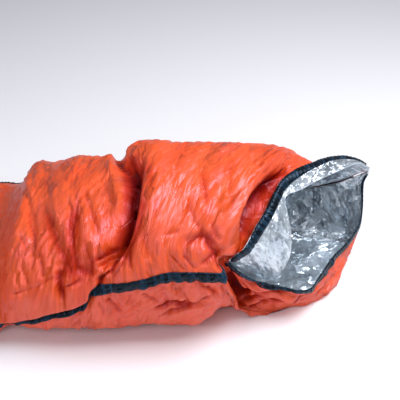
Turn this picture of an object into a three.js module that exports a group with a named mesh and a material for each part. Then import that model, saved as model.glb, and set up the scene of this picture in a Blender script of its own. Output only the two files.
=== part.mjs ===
import * as THREE from 'three';

// Emergency sleeping bag of two film panels, opened to the form it takes in use and lying on its back panel.
// Millimetres, +Z up, foot towards -X, mouth towards +X, near side towards -Y.

// Driving dimensions
const FLAT_WIDTH = 910;
const GIRTH = 2 * FLAT_WIDTH;
const SHEET_T = 1.5;
const TAPE_T = 1.0;
const TAPE_WIDTH = 26;
const RIM_INSET = 4;
const TAPE_GAP = 0.6;
const SEAM_GAP = 5;
const FOOT_X = -1500;
const FLOOR_SINK = 7;
const FOOT_PART = 2.6;
const FOOT_PART_FADE = [-1300, -1000];
const FOOT_LIFT = TAPE_T + TAPE_GAP;
const FOOT_LIFT_FADE = [FOOT_X + TAPE_WIDTH, FOOT_X + 80];
const SHOULDER_BLEND_X = -400;
const TOP_POWER = 2.25;
const BOTTOM_POWER = 3;
const LOOP_STEPS = 240;
const SHARPEST_BEND = 0.45;

// Middle of the plan box in the layout's own coordinates, moved to the origin at the end
const MIDDLE = { x: -456, y: 70.1 };

// The u coordinate runs along the bag: body up to 0, mouth up to the lip, then the turned-out cuff.
const LIP_U = 200;
const CUFF_U = 300;

// Plain sections: x, y of the middle, half width, height, height of the near side seam
const SECTIONS = [
  [-1500, 70, 445, 9.5, 4.8],
  [-1460, 70, 440, 34, 16],
  [-1360, 70, 435, 76, 30],
  [-1180, 70, 430, 106, 38],
  [-980, 70, 428, 120, 42],
  [-800, 66, 420, 140, 46],
  [-700, 66, 398, 160, 50],
  [-640, 60, 362, 212, 70],
  [-590, 50, 364, 318, 86],
  [-530, 32, 360, 346, 112],
  [-470, 16, 348, 390, 140],
  [-400, -2, 338, 424, 165],
  [-330, -14, 328, 436, 215],
  [-280, -20, 322, 450, 240],
  [-240, -20, 318, 490, 254],
  [-180, -18, 316, 520, 278],
  [-80, -14, 316, 506, 303],
  [0, -12, 314, 507, 300],
  [100, -6, 306, 504, 282],
  [200, 6, 296, 494, 268],
  [320, 34, 270, 466, 256],
];

// Where the plain sections end: girth fraction, x
const SHOULDER = [
  [0, 74],
  [0.05, 48],
  [0.1, 88],
  [0.2, 165],
  [0.3, 250],
  [0.4, 315],
  [0.5, 310],
  [0.6, 200],
  [0.75, 60],
  [0.88, 60],
  [0.95, 84],
  [1, 74],
];

// Neck, the valley behind the mouth: girth fraction, x, y, z
const NECK = [
  [0, 72, -247, 297],
  [0.05, 138, -215, 284],
  [0.1, 165, -178, 318],
  [0.15, 190, -130, 352],
  [0.2, 217, -82, 378],
  [0.25, 250, -22, 396],
  [0.3, 290, 48, 404],
  [0.35, 340, 118, 396],
  [0.4, 395, 182, 368],
  [0.45, 445, 238, 305],
  [0.5, 490, 265, 235],
  [0.56, 550, 235, 110],
  [0.62, 556, 190, 40],
  [0.68, 516, 92, 12],
  [0.74, 464, -36, 8],
  [0.8, 388, -112, 10],
  [0.85, 300, -152, 19],
  [0.9, 195, -180, 44],
  [0.95, 128, -208, 125],
];

// Lip, the fold of the cuff above and the rim below: girth fraction, x, y, z
const LIP = [
  [0, 88, -243, 287],
  [0.035, 158, -198, 208],
  [0.075, 234, -172, 152],
  [0.12, 277, -163, 206],
  [0.17, 290, -140, 286],
  [0.22, 280, -90, 348],
  [0.265, 275, -30, 384],
  [0.32, 334, 20, 384],
  [0.38, 404, 70, 389],
  [0.435, 475, 130, 380],
  [0.47, 538, 190, 364],
  [0.5, 589, 230, 310],
  [0.535, 578, 235, 250],
  [0.58, 577, 208, 170],
  [0.62, 565, 165, 120],
  [0.675, 511, 85, 98],
  [0.72, 461, 15, 101],
  [0.797, 399, -110, 117],
  [0.84, 359, -180, 121],
  [0.88, 290, -212, 136],
  [0.92, 215, -230, 174],
  [0.96, 140, -240, 230],
];

// Free edge of the turned-out cuff: girth fraction, x, y, z
const CUFF_EDGE = [
  [0, 86, -249, 298],
  [0.04, 128, -247, 337],
  [0.08, 143, -230, 350],
  [0.13, 168, -184, 371],
  [0.18, 199, -130, 392],
  [0.23, 230, -64, 415],
  [0.28, 263, 6, 425],
  [0.33, 310, 68, 421],
  [0.38, 383, 140, 403],
  [0.42, 437, 190, 388],
  [0.455, 489, 215, 376],
  [0.48, 544, 230, 353],
  [0.5, 593, 237, 315],
];
const CUFF_TURN = 26;
const CUFF_TURN_SHARE = 0.45;
const CUFF_LIFT = 25;
const CUFF_LIFT_SHARE = 0.3;
const CUFF_LEAN = new THREE.Vector3(0.45, -0.45, 0.77);
const RIM_LEAN = new THREE.Vector3(-0.45, 0.2, 0.45);
const RIM_LEAN_RISE = [0.52, 0.58];
const RIM_LEAN_FADE = [0.93, 1];

// Folds pressed into the film: depth, width, and the course as pairs of u and girth fraction
const FOLDS = [
  {
    name: 'waist',
    depth: 38,
    width: 22,
    course: [
      [-262, 0.315],
      [-262, 0.253],
      [-256, 0.178],
      [-260, 0.144],
      [-266, 0.085],
      [-284, 0.06],
      [-322, 0.042],
    ],
  },
  { name: 'notch', depth: 24, width: 13, course: [[-330, 0.5], [-318, 0.4], [-308, 0.32], [-288, 0.223]] },
  { name: 'pocket', depth: 28, width: 15, course: [[-266, 0.075], [-292, 0.066], [-318, 0.056]] },
  {
    name: 'knee',
    depth: 15,
    width: 13,
    course: [[-322, 0.045], [-344, 0.064], [-376, 0.102], [-388, 0.147], [-388, 0.227]],
  },
  {
    name: 'thigh',
    depth: 12,
    width: 12,
    course: [[-492, 0.226], [-460, 0.174], [-432, 0.136], [-392, 0.083]],
  },
  { name: 'shin', depth: 10, width: 11, course: [[-600, 0.33], [-548, 0.232], [-528, 0.176], [-528, 0.115]] },
  { name: 'step', depth: 18, width: 12, course: [[-436, 0.113], [-428, 0.075], [-432, 0.03]] },
  { name: 'skirt', depth: 26, width: 16, course: [[-330, 0.002], [-500, 0.002], [-760, 0.002]] },
  {
    name: 'corner',
    depth: 24,
    width: 17,
    course: [
      [5, 0.05],
      [20, 0.034],
      [40, 0.018],
      [60, 0],
      [84, -0.018],
      [90, -0.045],
      [78, -0.08],
      [62, -0.11],
    ],
  },
  { name: 'swag', depth: 8, width: 12, course: [[-104, 0.061], [-68, 0.067], [-16, 0.054], [15, 0.048]] },
  { name: 'underfold', depth: 12, width: 12, course: [[-136, -0.06], [-80, -0.063], [-24, -0.065]] },
  { name: 'collar', depth: 7, width: 8, course: [[134, -0.05], [158, -0.077], [165, -0.114]] },
];
const FOLD_FADE = 0.18;
const FOLD_END = 0.15;

// Broad pushes: u, girth fraction, reach along u, reach in girth fraction, x, y, z
const PUSHES = [
  [8, 0.872, 44, 0.06, 0, 80, 0],
  [62, 0.82, 16, 0.05, 0, -24, 0],
  [80, 0.95, 30, 0.03, 0, 40, 0],
  [62, 0.015, 30, 0.018, 0, 30, 0],
];

// Grid lines along the bag and round it: from, to, number of steps
const BODY_RUNS = [
  [-1500, -1487, 1],
  [-1455, -1430, 1],
  [-1370, -700, 6],
  [-660, -420, 8],
  [-400, -200, 15],
  [-175, 0, 6],
];
const MOUTH_STEPS = 16;
const CUFF_STEPS = 8;
const NEAR_TAPE_MOUTH_ROWS = 3;
const FAR_TAPE_MOUTH_ROWS = 8;
const UPPER_RUNS = [[0.022, 0.1, 4], [0.125, 0.4, 11], [0.42, 0.48, 3]];
const LOWER_RUNS = [[0.525, 0.56, 1], [0.6, 0.8, 4], [0.84, 0.98, 7]];

const FILM_COLOR = 0xf0582a;
const TAPE_COLOR = 0x15202c;

const { lerp, smoothstep, clamp, euclideanModulo } = THREE.MathUtils;

const column = (table, index) => table.map((row) => row[index]);

function runs(table) {
  const spread = ([from, to, steps]) => {
    return Array.from({ length: steps + 1 }, (_, i) => lerp(from, to, i / steps));
  };
  return table.flatMap(spread);
}

// Smooth curve through values at rising keys that never overshoots them
function monotoneCurve(keys, values) {
  const gaps = keys.slice(1).map((key, i) => key - keys[i]);
  const slopes = gaps.map((gap, i) => (values[i + 1] - values[i]) / gap);
  const tangents = keys.map((_, i) => {
    if (i === 0) return slopes[0];
    if (i === keys.length - 1) return slopes[i - 1];
    if (slopes[i - 1] * slopes[i] <= 0) return 0;
    const before = 2 * gaps[i] + gaps[i - 1];
    const after = gaps[i] + 2 * gaps[i - 1];
    return (before + after) / (before / slopes[i - 1] + after / slopes[i]);
  });
  return (at) => {
    const x = clamp(at, keys[0], keys.at(-1));
    let i = 0;
    while (i < gaps.length - 1 && x > keys[i + 1]) i += 1;
    const t = (x - keys[i]) / gaps[i];
    const rise = t * t * (3 - 2 * t);
    const bend = t * (1 - t) * gaps[i] * ((1 - t) * tangents[i] - t * tangents[i + 1]);
    return lerp(values[i], values[i + 1], rise) + bend;
  };
}

// Cubic from a to b that leaves with tangent m and arrives with tangent n
function hermite(a, m, b, n, t) {
  return new THREE.Vector3()
    .addScaledVector(a, (1 + 2 * t) * (1 - t) ** 2)
    .addScaledVector(m, t * (1 - t) ** 2)
    .addScaledVector(b, t * t * (3 - 2 * t))
    .addScaledVector(n, t * t * (t - 1));
}

// Closed smooth curve through rows of girth fraction, x, y, z
function girthCurve(rows) {
  const count = rows.length;
  const key = (i) => rows[euclideanModulo(i, count)][0] + Math.floor(i / count);
  const point = (i) => new THREE.Vector3(...rows[euclideanModulo(i, count)].slice(1));
  const tangent = (i, span) => {
    const chord = point(i + 1).sub(point(i - 1));
    return chord.multiplyScalar(span / (key(i + 1) - key(i - 1)));
  };
  return (fraction) => {
    const f = euclideanModulo(fraction, 1);
    let i = 0;
    while (i < count - 1 && f >= key(i + 1)) i += 1;
    const span = key(i + 1) - key(i);
    return hermite(point(i), tangent(i, span), point(i + 1), tangent(i + 1, span), (f - key(i)) / span);
  };
}

// Smooth open curve through rows of girth fraction, x, y, z
function edgeCurve(rows) {
  const axes = [1, 2, 3].map((index) => monotoneCurve(column(rows, 0), column(rows, index)));
  return (f) => new THREE.Vector3(...axes.map((axis) => axis(f)));
}

const sectionXs = column(SECTIONS, 0);
const sectionCurves = [1, 2, 3, 4].map((index) => monotoneCurve(sectionXs, column(SECTIONS, index)));
const shoulderX = monotoneCurve(column(SHOULDER, 0), column(SHOULDER, 1));
const neckPoint = girthCurve(NECK);
const lipPoint = girthCurve(LIP);
const cuffEdgePoint = edgeCurve(CUFF_EDGE);

function interpolate(keys, values, at) {
  let i = 0;
  while (i < keys.length - 2 && at > keys[i + 1]) i += 1;
  return lerp(values[i], values[i + 1], clamp((at - keys[i]) / (keys[i + 1] - keys[i]), 0, 1));
}

const power = (value, exponent) => Math.sign(value) * Math.abs(value) ** exponent;

// One plain section as arc lengths, y and z, from the middle of its floor up the near side and round
function sectionLoop(x) {
  const [middle, halfWidth, height, seam] = sectionCurves.map((curve) => curve(x));
  const arcs = [0];
  const ys = [];
  const zs = [];
  for (let i = 0; i <= LOOP_STEPS; i += 1) {
    const angle = (2 * Math.PI * i) / LOOP_STEPS;
    const exponent = 2 / (Math.cos(angle) > 0 ? BOTTOM_POWER : TOP_POWER);
    ys.push(middle - halfWidth * power(Math.sin(angle), exponent));
    zs.push((height / 2) * (1 - power(Math.cos(angle), exponent)));
    if (i > 0) arcs.push(arcs[i - 1] + Math.hypot(ys[i] - ys[i - 1], zs[i] - zs[i - 1]));
  }
  const half = LOOP_STEPS / 2 + 1;
  return { arcs, ys, zs, start: interpolate(zs.slice(0, half), arcs.slice(0, half), seam) };
}

function plainPoint(x, f) {
  const { arcs, ys, zs, start } = sectionLoop(x);
  const arc = (f * arcs.at(-1) + start) % arcs.at(-1);
  return new THREE.Vector3(x, interpolate(arcs, ys, arc), interpolate(arcs, zs, arc) - FLOOR_SINK);
}

// Direction in which the film arrives at the lip
function lipDirection(f) {
  const low = smoothstep(f, ...RIM_LEAN_RISE) * (1 - smoothstep(f, ...RIM_LEAN_FADE));
  return lipPoint(f).sub(neckPoint(f)).normalize().addScaledVector(RIM_LEAN, low).normalize();
}

function mouthPoint(u, f) {
  const x = shoulderX(f);
  const [start, neck, lip] = [plainPoint(x, f), neckPoint(f), lipPoint(f)];
  const leave = start.clone().sub(plainPoint(x - 10, f)).normalize();
  const toNeck = neck.clone().sub(start);
  const toLip = lip.clone().sub(neck);
  const [near, far] = [toNeck.length(), toLip.length()];
  const through = toNeck.multiplyScalar(far / near).add(toLip.multiplyScalar(near / far)).normalize();
  const w = (2 * u) / LIP_U;
  if (w < 1) return hermite(start, leave.multiplyScalar(near), neck, through.multiplyScalar(near), w);
  return hermite(neck, through.multiplyScalar(far), lip, lipDirection(f).multiplyScalar(far), w - 1);
}

function cuffPoint(u, f) {
  const [lip, edge] = [lipPoint(f), cuffEdgePoint(f)];
  const reach = lip.distanceTo(edge);
  const turn = lip.clone().addScaledVector(lipDirection(f), Math.min(CUFF_TURN, CUFF_TURN_SHARE * reach));
  const over = edge.clone().addScaledVector(CUFF_LEAN, Math.min(CUFF_LIFT, CUFF_LIFT_SHARE * reach));
  return new THREE.CubicBezierCurve3(lip, turn, over, edge).getPoint((u - LIP_U) / (CUFF_U - LIP_U));
}

function pushAt(u, f) {
  const sum = new THREE.Vector3();
  for (const [atU, atF, reachU, reachF, x, y, z] of PUSHES) {
    const apart = Math.abs(f - atF);
    const weight = Math.exp(-(((u - atU) / reachU) ** 2) - (Math.min(apart, 1 - apart) / reachF) ** 2);
    sum.addScaledVector(new THREE.Vector3(x, y, z), weight);
  }
  return sum;
}

function smoothPoint(u, f) {
  if (u > LIP_U) return cuffPoint(u, f);
  const body = () => plainPoint(u + smoothstep(u, SHOULDER_BLEND_X, 0) * shoulderX(f), f);
  return (u > 0 ? mouthPoint(u, f) : body()).add(pushAt(u, f));
}

// Inward depth of one fold at u, f
function foldDepth({ depth, width, course }, u, f) {
  let best = Infinity;
  let along = 0;
  for (const fraction of [f, f - 1]) {
    const at = new THREE.Vector2(u, fraction * GIRTH);
    for (let i = 0; i < course.length - 1; i += 1) {
      const from = new THREE.Vector2(course[i][0], course[i][1] * GIRTH);
      const run = new THREE.Vector2(course[i + 1][0], course[i + 1][1] * GIRTH).sub(from);
      const t = clamp(at.clone().sub(from).dot(run) / run.lengthSq(), 0, 1);
      const distance = at.distanceTo(from.addScaledVector(run, t));
      if (distance < best) {
        best = distance;
        along = (i + t) / (course.length - 1);
      }
    }
  }
  const fade = smoothstep(along, 0, FOLD_FADE) * (1 - smoothstep(along, 1 - FOLD_FADE, 1));
  return depth * Math.exp(-((best / width) ** 2)) * lerp(FOLD_END, 1, fade);
}

// Middle of the film at u, f; the upper panel is parted from the lower one at the flat foot
function filmPoint(u, f, upper) {
  const onCuff = u > LIP_U;
  const du = 2;
  const df = 0.002;
  const end = onCuff || (upper && u === LIP_U) ? CUFF_U : LIP_U;
  const place = (v) => (onCuff ? clamp(v, 0, 0.5) : euclideanModulo(v, 1));
  const along = smoothPoint(Math.min(u + du, end), f).sub(smoothPoint(Math.max(u - du, FOOT_X), f));
  const around = smoothPoint(u, place(f + df)).sub(smoothPoint(u, place(f - df)));
  const outward = along.cross(around).normalize();
  const depth = FOLDS.reduce((sum, fold) => sum + foldDepth(fold, u, f), 0);
  const point = smoothPoint(u, f).addScaledVector(outward, -depth);
  const lift = FOOT_LIFT * (1 - smoothstep(u, ...FOOT_LIFT_FADE));
  const part = upper ? FOOT_PART * (1 - smoothstep(u, ...FOOT_PART_FADE)) : 0;
  point.z = Math.max(point.z, 0) + SHEET_T / 2 + lift + part;
  return point;
}

// Offset direction of each grid point, lengthened at bends so that the sheet keeps its thickness
function offsetsOf(rows) {
  const facets = rows.slice(1).map((row, i) => row.slice(1).map((point, j) => {
    const diagonal = point.clone().sub(rows[i][j]);
    return diagonal.cross(rows[i][j + 1].clone().sub(rows[i + 1][j])).normalize();
  }));
  return rows.map((row, i) => row.map((_, j) => {
    const corners = [[i - 1, j - 1], [i - 1, j], [i, j - 1], [i, j]];
    const around = corners.map(([r, c]) => facets[r]?.[c]).filter(Boolean);
    const normal = around.reduce((sum, facet) => sum.add(facet), new THREE.Vector3()).normalize();
    const closeness = around.reduce((sum, facet) => sum + facet.dot(normal), 0) / around.length;
    return normal.divideScalar(Math.max(closeness, SHARPEST_BEND));
  }));
}

function shifted(rows, distance) {
  const offsets = offsetsOf(rows);
  return rows.map((row, i) => row.map((point, j) => point.clone().addScaledVector(offsets[i][j], distance)));
}

// Closed sheet of the given thickness about a grid of middle points
function sheet(rows, thickness) {
  const [outer, inner] = [shifted(rows, thickness / 2), shifted(rows, -thickness / 2)];
  const [height, width] = [rows.length, rows[0].length];
  const positions = [outer, inner].flat(2).flatMap(({ x, y, z }) => [x, y, Math.max(z, 0)]);
  const out = (i, j) => i * width + j;
  const inn = (i, j) => height * width + i * width + j;
  const faces = [];
  const quad = (a, b, c, d) => faces.push(a, b, c, a, c, d);
  for (let i = 0; i < height - 1; i += 1) {
    for (let j = 0; j < width - 1; j += 1) {
      quad(out(i, j), out(i + 1, j), out(i + 1, j + 1), out(i, j + 1));
      quad(inn(i, j), inn(i, j + 1), inn(i + 1, j + 1), inn(i + 1, j));
    }
    quad(out(i, 0), inn(i, 0), inn(i + 1, 0), out(i + 1, 0));
    quad(out(i, width - 1), out(i + 1, width - 1), inn(i + 1, width - 1), inn(i, width - 1));
  }
  for (let j = 0; j < width - 1; j += 1) {
    quad(out(0, j), out(0, j + 1), inn(0, j + 1), inn(0, j));
    quad(out(height - 1, j), inn(height - 1, j), inn(height - 1, j + 1), out(height - 1, j + 1));
  }
  const geometry = new THREE.BufferGeometry();
  geometry.setAttribute('position', new THREE.Float32BufferAttribute(positions, 3));
  geometry.setIndex(faces);
  geometry.translate(-MIDDLE.x, -MIDDLE.y, 0);
  geometry.computeVertexNormals();
  return geometry;
}

// Share of the stretch from one u to another that a length in millimetres takes at its far end
function endShare(f, from, to, length, most) {
  const steps = 12;
  const point = (i) => smoothPoint(lerp(from, to, i / steps), f);
  let total = 0;
  for (let i = 0; i < steps; i += 1) total += point(i).distanceTo(point(i + 1));
  return Math.min(length / total, most);
}

// Rows of middle points up to a free edge, where the last three rows bound the rim tape
function panelRows(fractions, upper) {
  const bodyUs = runs(BODY_RUNS);
  const [from, to, steps] = upper ? [LIP_U, CUFF_U, CUFF_STEPS] : [LIP_U / 2, LIP_U, MOUTH_STEPS / 2];
  const mouthCount = upper ? MOUTH_STEPS : MOUTH_STEPS / 2;
  const mouthUs = Array.from({ length: mouthCount }, (_, i) => ((i + 1) * LIP_U) / MOUTH_STEPS);
  const rows = [...bodyUs, ...mouthUs].map((u) => fractions.map((f) => filmPoint(u, f, upper)));
  const band = fractions.map((f) => 1 - endShare(f, from, to, TAPE_WIDTH, 0.6));
  const inset = fractions.map((f) => 1 - endShare(f, from, to, RIM_INSET, 0.1));
  const edgeRow = (share) => fractions.map((f, j) => filmPoint(lerp(from, to, share(j)), f, upper));
  for (let i = 1; i <= steps; i += 1) rows.push(edgeRow((j) => (band[j] * i) / steps));
  rows.push(edgeRow((j) => inset[j]));
  rows.push(edgeRow(() => 1));
  return rows;
}

const seamTrim = SEAM_GAP / 2 / GIRTH;
const tapeShare = TAPE_WIDTH / 2 / GIRTH;
const upperColumns = [seamTrim, tapeShare, ...runs(UPPER_RUNS), 0.5 - tapeShare, 0.5 - seamTrim];
const lowerColumns = [0.5 + seamTrim, 0.5 + tapeShare, ...runs(LOWER_RUNS), 1 - tapeShare, 1 - seamTrim];
const upperRows = panelRows(upperColumns, true);
const lowerRows = panelRows(lowerColumns, false);

const tapeOffset = SHEET_T / 2 + TAPE_GAP + TAPE_T / 2;

// Tape over a side seam, four points wide, from beside the foot tape to a row of the mouth
function sideTapeRows(before, after, mouthRows) {
  const count = runs(BODY_RUNS).length + mouthRows;
  const across = (i) => [...before, ...after].map(([rows, index]) => rows[i].at(index));
  return shifted(Array.from({ length: count }, (_, i) => across(i)).slice(2), tapeOffset);
}

const upperNear = [[upperRows, 0], [upperRows, 1]];
const upperFar = [[upperRows, -2], [upperRows, -1]];
const lowerFar = [[lowerRows, 0], [lowerRows, 1]];
const lowerNear = [[lowerRows, -2], [lowerRows, -1]];
const nearTape = sideTapeRows(lowerNear, upperNear, NEAR_TAPE_MOUTH_ROWS);
const farTape = sideTapeRows(upperFar, lowerFar, FAR_TAPE_MOUTH_ROWS);

// Tape sewn on the inner face along a free edge, between the last inner row and the inset row
function rimTapeRows(rows, first, last) {
  return shifted(rows.slice(-3, -1).map((row) => row.slice(first, last)), -tapeOffset);
}

// Tape folded over the foot edges of both panels
function footTapeRows() {
  const beyond = (row) => row.map((point) => point.clone().setX(FOOT_X - tapeOffset - TAPE_GAP));
  const under = (row) => row.map((point) => point.clone().setZ(TAPE_T / 2));
  const [edge, inner] = shifted(upperRows.slice(0, 2), tapeOffset);
  return [under(inner), under(beyond(edge)), beyond(edge), inner];
}

function mesh(name, rows, thickness, color) {
  const material = new THREE.MeshStandardMaterial({ color, roughness: 0.35, side: THREE.DoubleSide });
  const object = new THREE.Mesh(sheet(rows, thickness), material);
  object.name = name;
  return object;
}

const bag = new THREE.Group();
bag.name = 'emergency_sleeping_bag';
bag.add(mesh('upper_panel', upperRows, SHEET_T, FILM_COLOR));
bag.add(mesh('lower_panel', lowerRows, SHEET_T, FILM_COLOR));
bag.add(mesh('near_side_tape', nearTape, TAPE_T, TAPE_COLOR));
bag.add(mesh('far_side_tape', farTape, TAPE_T, TAPE_COLOR));
bag.add(mesh('upper_rim_tape', rimTapeRows(upperRows, 3, -1), TAPE_T, TAPE_COLOR));
bag.add(mesh('lower_rim_tape', rimTapeRows(lowerRows, 1, -2), TAPE_T, TAPE_COLOR));
bag.add(mesh('foot_tape', footTapeRows(), TAPE_T, TAPE_COLOR));

export default bag;
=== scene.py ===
import math

import bpy
import numpy as np
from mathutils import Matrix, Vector


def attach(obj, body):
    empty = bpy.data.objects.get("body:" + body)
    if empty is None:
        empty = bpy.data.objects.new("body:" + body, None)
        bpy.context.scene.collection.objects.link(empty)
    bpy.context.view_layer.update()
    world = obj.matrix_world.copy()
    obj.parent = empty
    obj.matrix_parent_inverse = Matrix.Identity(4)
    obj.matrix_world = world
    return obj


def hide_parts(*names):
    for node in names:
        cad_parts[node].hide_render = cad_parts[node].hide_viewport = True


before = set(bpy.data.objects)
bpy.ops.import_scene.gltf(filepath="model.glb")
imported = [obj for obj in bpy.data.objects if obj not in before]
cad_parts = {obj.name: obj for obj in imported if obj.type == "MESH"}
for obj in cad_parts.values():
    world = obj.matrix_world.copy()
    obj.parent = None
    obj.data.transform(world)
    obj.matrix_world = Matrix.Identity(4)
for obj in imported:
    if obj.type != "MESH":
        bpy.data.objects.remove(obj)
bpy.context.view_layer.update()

# Layout in millimetres, as in the part's source: foot towards -X, mouth towards +X, near side towards -Y.
MIDDLE = np.array([-456.0, 70.1, 0.0])
GIRTH = 1820.0
FOOT_X = -1500.0
LIP_U = 200.0
CUFF_U = 300.0
FLOOR_SINK = 7.0
FLOOR_GAP = 0.1
FILM_T = 1.5

# Fullness of the plain sections below and above their middle, and the start of the shoulder
BOTTOM_POWER = 3.0
TOP_POWER = 2.25
STRETCH_START = -400

# Film and tape as shown; the tape is 26 wide in the solids and looks wider where it puckers
SKIN = 0.9
TAPE_WIDTH = 26.0
SHOWN_TAPE_WIDTH = 34.0
TAPE_T = 1.0
TAPE_GAP = 0.6
TAPE_CLEAR = 0.3
PUCKER_PITCH = 17
RIM_PUCKER_PITCH = 15
PHASE_STEP = 40

# Foot: how far its edges are lifted for the tape under them, and parted from each other, and where that ends
FOOT_LIFT = TAPE_T + TAPE_GAP
LIFT_END = FOOT_X + 80
FOOT_PART = 2.6
PART_FADE = (-1300, -1000)

# Near seam slid up the film beside the waist: share of the girth, rise and fall along u, reach round it
SEAM_SLIDE = 0.017
SLIDE_RISE = (-365, -335)
SLIDE_FALL = (-320, -190)
SLIDE_REACH = 0.05

# Hem hanging over the near tape before the waist: offset, rise and fall along u, girth fraction, reach
HEM_REACH = np.array([0, -7, -6])
HEM_RISE = (-900, -700)
HEM_FALL = (-352, -340)
HEM_AT = 0.016
HEM_WIDTH = 0.011

# Scale of the placed creases, and the depth at which the painted shade in them is darkest
CREASE_DEPTH = 1.7
CREASE_WIDTH = 1.5
DARKEST_SHADE_DEPTH = 44.0

# x, y of the middle, half width, height, height of the near side seam
SECTIONS = np.array([
    [-1500, 70, 445, 9.5, 4.8],
    [-1460, 70, 440, 34, 16],
    [-1360, 70, 435, 76, 30],
    [-1180, 70, 430, 106, 38],
    [-980, 70, 428, 120, 42],
    [-800, 66, 420, 140, 46],
    [-700, 66, 398, 160, 50],
    [-640, 60, 362, 236, 70],
    [-590, 50, 364, 330, 86],
    [-530, 32, 360, 350, 112],
    [-470, 16, 348, 390, 140],
    [-400, -2, 338, 424, 165],
    [-330, -14, 328, 436, 215],
    [-280, -20, 322, 450, 240],
    [-240, -20, 318, 490, 254],
    [-180, -18, 316, 520, 278],
    [-80, -14, 316, 506, 303],
    [0, -12, 314, 507, 300],
    [100, -6, 306, 504, 282],
    [200, 6, 296, 494, 268],
    [320, 34, 270, 466, 256],
], float)

# Where the plain sections end: girth fraction, x
SHOULDER = np.array([
    [0, 74],
    [0.05, 48],
    [0.1, 88],
    [0.2, 165],
    [0.3, 250],
    [0.4, 315],
    [0.5, 310],
    [0.6, 200],
    [0.75, 60],
    [0.88, 60],
    [0.95, 84],
    [1, 74],
], float)

# Neck, the valley behind the mouth: girth fraction, x, y, z
NECK = np.array([
    [0, 72, -247, 297],
    [0.05, 138, -215, 284],
    [0.1, 165, -178, 318],
    [0.15, 190, -130, 352],
    [0.2, 217, -82, 378],
    [0.25, 250, -22, 396],
    [0.3, 290, 48, 404],
    [0.35, 340, 118, 396],
    [0.4, 395, 182, 368],
    [0.45, 445, 238, 305],
    [0.5, 490, 265, 235],
    [0.56, 550, 235, 110],
    [0.62, 556, 190, 40],
    [0.68, 516, 92, 12],
    [0.74, 464, -36, 8],
    [0.8, 388, -112, 10],
    [0.85, 300, -152, 19],
    [0.9, 195, -180, 44],
    [0.95, 128, -208, 125],
], float)

# Lip, the fold of the cuff above and the rim below: girth fraction, x, y, z
LIP = np.array([
    [0, 88, -243, 287],
    [0.035, 158, -198, 208],
    [0.075, 234, -172, 152],
    [0.12, 277, -163, 206],
    [0.17, 290, -140, 286],
    [0.22, 280, -90, 348],
    [0.265, 275, -30, 384],
    [0.32, 334, 20, 384],
    [0.38, 404, 70, 389],
    [0.435, 475, 130, 380],
    [0.47, 538, 190, 364],
    [0.5, 589, 230, 310],
    [0.535, 578, 235, 250],
    [0.58, 577, 208, 170],
    [0.62, 565, 165, 120],
    [0.675, 511, 85, 98],
    [0.72, 461, 15, 101],
    [0.797, 399, -110, 117],
    [0.84, 359, -180, 121],
    [0.88, 290, -212, 136],
    [0.92, 215, -230, 174],
    [0.96, 140, -240, 230],
], float)

# Free edge of the turned-out cuff: girth fraction, x, y, z
CUFF_EDGE = np.array([
    [0, 86, -249, 298],
    [0.04, 128, -247, 337],
    [0.08, 143, -230, 350],
    [0.13, 168, -184, 371],
    [0.18, 199, -130, 392],
    [0.23, 230, -64, 415],
    [0.28, 263, 6, 425],
    [0.33, 310, 68, 421],
    [0.38, 383, 140, 403],
    [0.42, 437, 190, 388],
    [0.455, 489, 215, 376],
    [0.48, 544, 230, 353],
    [0.5, 593, 237, 315],
], float)

# Lean of the cuff over its free edge, and of the lower rim between two stretches of the girth
CUFF_LEAN = np.array([0.45, -0.45, 0.77])
RIM_LEAN = np.array([-0.45, 0.2, 0.45])
RIM_RISE = (0.52, 0.58)
RIM_FALL = (0.93, 1)

# Handles of the cuff's curve at the lip and at the free edge: length at most, share of the reach at most
LIP_HANDLE = (26, 0.45)
EDGE_HANDLE = (25, 0.3)

# Main folds, as in the part's source: depth, width, course of u and girth fraction
FOLDS = [
    (
        38,
        22,
        [
            (-262, 0.315),
            (-262, 0.253),
            (-256, 0.178),
            (-260, 0.144),
            (-266, 0.085),
            (-284, 0.06),
            (-322, 0.042),
        ],
    ),
    (24, 13, [(-330, 0.5), (-318, 0.4), (-308, 0.32), (-288, 0.223)]),
    (28, 15, [(-266, 0.075), (-292, 0.066), (-318, 0.056)]),
    (15, 13, [(-322, 0.045), (-344, 0.064), (-376, 0.102), (-388, 0.147), (-388, 0.227)]),
    (12, 12, [(-492, 0.226), (-460, 0.174), (-432, 0.136), (-392, 0.083)]),
    (10, 11, [(-600, 0.33), (-548, 0.232), (-528, 0.176), (-528, 0.115)]),
    (18, 12, [(-436, 0.113), (-428, 0.075), (-432, 0.03)]),
    (26, 16, [(-330, 0.002), (-500, 0.002), (-760, 0.002)]),
    (
        24,
        17,
        [(5, 0.05), (20, 0.034), (40, 0.018), (60, 0), (84, -0.018), (90, -0.045), (78, -0.08), (62, -0.11)],
    ),
    (8, 12, [(-104, 0.061), (-68, 0.067), (-16, 0.054), (15, 0.048)]),
    (12, 12, [(-136, -0.06), (-80, -0.063), (-24, -0.065)]),
    (7, 8, [(134, -0.05), (158, -0.077), (165, -0.114)]),
]

# Broad pushes: u, girth fraction, reach along u, reach in girth fraction, y
PUSHES = [
    (8, 0.872, 44, 0.06, 80),
    (62, 0.82, 16, 0.05, -24),
    (80, 0.95, 30, 0.03, 40),
    (62, 0.015, 30, 0.018, 30),
]

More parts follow.
